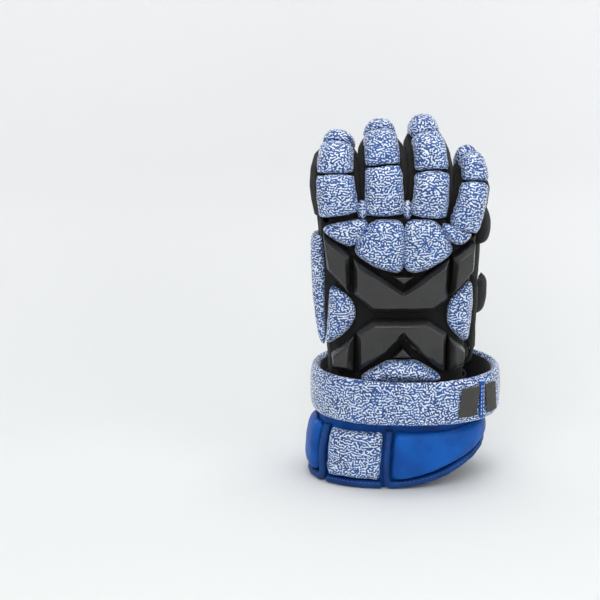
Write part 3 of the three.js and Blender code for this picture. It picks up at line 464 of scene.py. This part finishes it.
# Plates with crisper bevels
PLATES = [f"{row}_plate_{place}" for row in ("upper", "lower") for place in ("left", "centre", "right")]
plates = {}
for i, name in enumerate(PLATES + ["upper_keystone", "lower_keystone"]):
    obj = relaxed(voxels(welded(name, f"{name}_cover"), PLATE_VOXEL), 5)
    uneven(obj, 0.2, 12.0, seed=50 + i * 2.3)
    plates[name] = piece(obj, [name], PLATE, "black_leather", 0.9)

# Walls and bindings
bindings = {}
for i, name in enumerate(f"cuff_binding_{place}" for place in ("inner", "front", "outer", "palm")):
    obj = relaxed(voxels(welded(name, f"{name}_tape"), PLATE_VOXEL), 8)
    bindings[name] = piece(uneven(obj, 0.25, 5.0, seed=80 + i), [name], BINDING, "blue_binding", 0.8)
STALL_WIDTHS = {f"{finger}_stall": (1.12, 0.0) for finger in FINGERS[:3]}
STALL_WIDTHS["index_stall"] = (1.2, INDEX_ASIDE * 1.5)
for i, name in enumerate(["palm_shell", "cuff_tube", *STALL_WIDTHS, "thumb_stall"]):
    obj = relaxed(voxels(welded(name, f"{name}_wall"), WALL_VOXEL), 20)
    if name in STALL_WIDTHS:
        widened(obj, *STALL_WIDTHS[name])
    finish = (CUFF, "blue_leather") if name == "cuff_tube" else (BLACK, "black_mesh_fabric")
    piece(uneven(obj, 0.3, 14.0, seed=100 + i), [name], *finish)
lining = rounded(welded("strap_lining", "strap_lining_cloth"), 2)
piece(lining, ["strap_lining"], BLACK, "black_mesh_fabric")
for name in ("strap_inlay_front", "strap_inlay_rear"):
    obj = relaxed(voxels(welded(name, f"{name}_patch"), PATCH_VOXEL), 6)
    piece(obj, [name], GREY, "grey_fabric")
seam = relaxed(voxels(welded("strap_seam", "strap_seam_tape"), PATCH_VOXEL), 6)
piece(seam, ["strap_seam"], BLUE, "blue_leather")


# Stitches: short rounded bars laid on a surface along a line
STITCH_SIDES = 6
STITCH_STATIONS = [(-0.5, 0.35), (-0.42, 0.8), (0.0, 1.0), (0.42, 0.8), (0.5, 0.35)]  # along, thick
STITCH_RADII = (0.5, 0.38)  # across and up, as shares of its width
STITCH_SUNK = 0.35  # how deep its ends go, as a share of its width
RAY_REACH = 0.3
UP = Vector((0, 0, 1))
BACK = Vector((0, 1, 0))


def landed(obj, starts, ways):
    """Where rays land on an object, with the normals there. A miss is left out."""
    faces = [list(p.vertices) for p in obj.data.polygons]
    surface = BVHTree.FromPolygons([v.co.copy() for v in obj.data.vertices], faces)
    hits = []
    for start, way in zip(starts, ways):
        place, normal, _, _ = surface.ray_cast(start, way, RAY_REACH)
        if place is not None:
            hits.append((place, -normal if normal.dot(way) > 0 else normal))
    return hits


def stitches(name, lines, mat, slot, length, gap, width):
    """One piece of all the stitches along lines of landed points."""
    points, faces = [], []
    for line in lines:
        steps = [0.0]
        for (p, _), (q, _) in zip(line, line[1:]):
            steps.append(steps[-1] + (q - p).length)

        def at(run):
            i = min(max(int(np.searchsorted(steps, run)) - 1, 0), len(line) - 2)
            share = (run - steps[i]) / max(steps[i + 1] - steps[i], 1e-9)
            (place, out), (next_place, next_out) = line[i], line[i + 1]
            return place.lerp(next_place, share), out.lerp(next_out, share).normalized()

        run = gap * MM
        while run + length * MM < steps[-1]:
            start, end = at(run)[0], at(run + length * MM)[0]
            along = end - start
            out = at(run + length * MM / 2)[1]
            side = along.cross(out).normalized()
            first = len(points)
            for share, thick in STITCH_STATIONS:
                sunk = -STITCH_SUNK * width * MM if abs(share) == 0.5 else 0.0
                centre = (start + end) / 2 + along * share + out * sunk
                wide, high = (f * width * MM * thick for f in STITCH_RADII)
                for k in range(STITCH_SIDES):
                    angle = 2 * math.pi * k / STITCH_SIDES
                    points.append(centre + side * math.cos(angle) * wide + out * math.sin(angle) * high)
            for row in range(len(STITCH_STATIONS) - 1):
                ring = first + row * STITCH_SIDES
                for k in range(STITCH_SIDES):
                    a, b = ring + k, ring + (k + 1) % STITCH_SIDES
                    faces.append([a, b, b + STITCH_SIDES, a + STITCH_SIDES])
            faces.append([first + k for k in reversed(range(STITCH_SIDES))])
            last = first + (len(STITCH_STATIONS) - 1) * STITCH_SIDES
            faces.append([last + k for k in range(STITCH_SIDES)])
            run += (length + gap) * MM
    mesh = bpy.data.meshes.new(name)
    mesh.from_pydata(points, [], faces)
    return piece(link(bpy.data.objects.new(name, mesh)), [], mat, slot)


# Where the rows go, in millimetres or as shares of a piece's width
SEAM_ROWS = (0.22, 0.78)
SEAM_ENDS = 1.5  # left free at the seam's ends
SEAM_FROM = 150.0  # how far out the rays start
SEAM_NEAR = 2.0  # how near to a height the seam's points count
PLATE_INSET = 2.0
PLATE_TURNS = 96
PLATE_FROM = 10.0  # how far before the face the rays start
PLATE_SHIFTS = {"upper_plate_centre": -0.2, "lower_plate_centre": 0.2}  # away from the notch
RIM_ROW = 0.78
RIM_WIDTH = 11.0  # a binding is wider than this only where it turns up a side
RIM_FROM = 140.0
RIM_TURNS = 181
RIM_NEAR = 0.02  # radians
WEB_SIZE = (2.5, 5.0, 8.0)  # how far it goes under each pad, and half its depth and height
WEB_PLACE = (11.0, 6.0)  # behind the pads' faces and above their feet
WEB_FOOT = 12.0  # how much of each pad counts as its foot
TACKS = (-5.0, 6.0)  # from and to, about the web's middle
TACKS_FROM = 50.0


def seam_lines():
    """Two rows down the strap's seam, near its long edges."""
    co = read_points(seam.data)
    low, high = co[:, 2].min() + SEAM_ENDS * MM, co[:, 2].max() - SEAM_ENDS * MM
    middle = co.mean(axis=0)
    out = Vector((middle[0], middle[1], 0)).normalized()
    side = Vector((-out.y, out.x, 0))
    lines = []
    for share in SEAM_ROWS:
        starts = []
        for z in np.linspace(low, high, 30):
            across = co[np.abs(co[:, 2] - z) < SEAM_NEAR * MM] @ np.array(side)
            place = across.min() + share * (across.max() - across.min())
            starts.append(side * place + out * SEAM_FROM * MM + UP * z)
        lines.append(landed(seam, starts, [-out] * len(starts)))
    return lines


def plate_line(name, obj):
    """A row round a plate's face, inside its edge, which is seen from near its middle."""
    co = read_points(obj.data)
    middle = (co.min(axis=0) + co.max(axis=0)) / 2
    middle[2] += PLATE_SHIFTS.get(name, 0.0) * (co[:, 2].max() - co[:, 2].min())
    reach = co[:, [0, 2]] - middle[[0, 2]]
    angle = np.arctan2(reach[:, 1], reach[:, 0])
    far = np.hypot(reach[:, 0], reach[:, 1])
    slots = np.arange(PLATE_TURNS)
    bins = ((angle + math.pi) / (2 * math.pi) * PLATE_TURNS).astype(int) % PLATE_TURNS
    edge = np.array([far[bins == k].max() if (bins == k).any() else np.nan for k in slots])
    edge = np.interp(slots, np.flatnonzero(~np.isnan(edge)), edge[~np.isnan(edge)])
    turns = -math.pi + (slots + 0.5) * 2 * math.pi / PLATE_TURNS
    outline = np.c_[np.cos(turns), np.sin(turns)] * edge[:, None]
    along = np.roll(outline, -1, axis=0) - np.roll(outline, 1, axis=0)
    inward = np.c_[-along[:, 1], along[:, 0]] / np.linalg.norm(along, axis=1, keepdims=True)
    outline = outline + inward * PLATE_INSET * MM + middle[[0, 2]]
    starts = [Vector((x, co[:, 1].min() - PLATE_FROM * MM, z)) for x, z in outline]
    starts.append(starts[0])
    return landed(obj, starts, [BACK] * len(starts))


def binding_line(obj):
    """A row along a binding's stretch on the rim."""
    co = read_points(obj.data)
    angle = np.arctan2(co[:, 0], -co[:, 1])
    starts, ways = [], []
    for turn in np.linspace(-math.pi, math.pi, RIM_TURNS):
        near = co[np.abs((angle - turn + math.pi) % (2 * math.pi) - math.pi) < RIM_NEAR, 2]
        if not len(near) or np.ptp(near) > RIM_WIDTH * MM:
            continue
        out = Vector((math.sin(turn), -math.cos(turn), 0))
        starts.append(out * RIM_FROM * MM + UP * (near.min() + RIM_ROW * np.ptp(near)))
        ways.append(-out)
    return landed(obj, starts, ways)


def web(left, right):
    """The small printed gore between two fingers' bases."""
    ends = []
    for finger, side in ((left, "max"), (right, "min")):
        co = read_points(nodes[f"{finger}_pad_base"].data)
        foot = co[co[:, 2] < co[:, 2].min() + WEB_FOOT * MM]
        ends.append((getattr(foot[:, 0], side)(), foot[:, 1].min(), foot[:, 2].min()))
    ends = np.array(ends)
    past, depth, tall = (v * MM for v in WEB_SIZE)
    size = (abs(ends[1, 0] - ends[0, 0]) / 2 + past, depth, tall)
    middle = ends.mean(axis=0) + np.array([0.0, *WEB_PLACE]) * MM
    bm = bmesh.new()
    bmesh.ops.create_icosphere(bm, subdivisions=4, radius=1.0)
    for vertex in bm.verts:
        vertex.co = Vector(vertex.co[k] * size[k] + middle[k] for k in range(3))
    mesh = bpy.data.meshes.new(f"web_{left}_{right}")
    bm.to_mesh(mesh)
    bm.free()
    return piece(link(bpy.data.objects.new(mesh.name, mesh)), [], PRINTED, "printed_leather", 0.5)


def tack_line(obj):
    """A row up the middle of a web's face."""
    co = read_points(obj.data)
    x, y, z = (co.min(axis=0) + co.max(axis=0)) / 2
    heights = np.linspace(*(z + end * MM for end in TACKS), 12)
    starts = [Vector((x, y - TACKS_FROM * MM, height)) for height in heights]
    return landed(obj, starts, [BACK] * len(starts))


webs = [web("little", "ring"), web("ring", "middle")]
tacks = [tack_line(obj) for obj in webs]
rim = [binding_line(obj) for obj in bindings.values()]
rows = [plate_line(name, obj) for name, obj in plates.items() if name in PLATES]
stitches("web_tacks", tacks, WHITE_THREAD, "printed_leather", length=2.6, gap=0.4, width=1.3)
stitches("strap_seam_stitches", seam_lines(), WHITE_THREAD, "blue_leather", length=2.2, gap=1.2, width=0.9)
stitches("binding_stitches", rim, BLUE_THREAD, "blue_binding", length=2.4, gap=1.3, width=0.6)
stitches("plate_stitches", rows, BLACK_THREAD, "black_leather", length=2.0, gap=1.2, width=0.6)

# Stage, light and camera
STAGE_REACH = 3.0  # metres, as are the numbers of the stage, the lights and the camera
BEND_FROM = 0.14
BEND_RADIUS = 0.2
STAGE = Nodes("pale_paper")
paper = STAGE.coords(apart=False)
height = STAGE.add("ShaderNodeSeparateXYZ", {0: paper}).outputs["Z"]
floor_tone = STAGE.mix(STAGE.noise(paper, 0.002), srgb(230, 232, 231), srgb(234, 236, 235))
# Painted light: the one paper is painted lighter from the floor up the bend to the wall
tone = STAGE.mix(STAGE.ramp(height, 0.0, BEND_RADIUS / MM), floor_tone, srgb(243, 244, 245))
STAGE.done(Base_Color=tone, Roughness=0.8)
# From behind, the backdrop is clear, so that it hides nothing
behind = STAGE.add("ShaderNodeNewGeometry").outputs["Backfacing"]
clear = STAGE.add("ShaderNodeBsdfTransparent").outputs[0]
sides = STAGE.add("ShaderNodeMixShader", {0: behind, 1: STAGE.shader.outputs[0], 2: clear})
STAGE.put(STAGE.tree.nodes["Material Output"].inputs["Surface"], sides.outputs[0])
profile = [(-STAGE_REACH, 0.0), (BEND_FROM, 0.0)]
for a in np.linspace(0.1, math.pi / 2, 12):
    profile.append((BEND_FROM + BEND_RADIUS * math.sin(a), BEND_RADIUS * (1 - math.cos(a))))
profile.append((BEND_FROM + BEND_RADIUS, STAGE_REACH))
mesh = bpy.data.meshes.new("floor_and_backdrop")
points = [(x, y, z) for y, z in profile for x in (-STAGE_REACH, STAGE_REACH)]
mesh.from_pydata(points, [], [(2 * i, 2 * i + 1, 2 * i + 3, 2 * i + 2) for i in range(len(profile) - 1)])
floor = link(bpy.data.objects.new("floor_and_backdrop", mesh))
mesh.materials.append(STAGE.mat)
mesh.polygons.foreach_set("use_smooth", [True] * len(mesh.polygons))


def area_light(name, place, aim, size, power):
    light = bpy.data.lights.new(name, "AREA")
    light.shape = "SQUARE"
    light.size = size
    light.energy = power
    obj = link(bpy.data.objects.new(name, light))
    obj.location = place
    obj.rotation_euler = (Vector(aim) - Vector(place)).to_track_quat("-Z", "Y").to_euler()


area_light("key", (-0.45, -1.45, 1.55), (0, 0, 0.12), 1.3, 15)
area_light("fill", (1.3, -1.1, 0.9), (0, 0, 0.15), 1.2, 7)
area_light("top", (0.1, 0.1, 1.8), (0, 0, 0.1), 0.8, 9)
world = bpy.data.worlds.new("studio")
world.use_nodes = True
sky = world.node_tree.nodes["Background"].inputs
sky["Color"].default_value = (0.98, 0.985, 1.0, 1.0)
sky["Strength"].default_value = 0.45
scene.world = world
scene.view_settings.view_transform = "Standard"

ELEVATION = math.radians(15)
DISTANCE = 1.5
TARGET = Vector((-0.088, 0.0, 0.152))
camera_data = bpy.data.cameras.new("camera")
camera_data.lens = 106
camera_data.sensor_width = 36
camera = link(bpy.data.objects.new("camera", camera_data))
camera.location = TARGET + DISTANCE * Vector((0, -math.cos(ELEVATION), math.sin(ELEVATION)))
camera.rotation_euler = (math.pi / 2 - ELEVATION, 0, 0)
scene.camera = camera
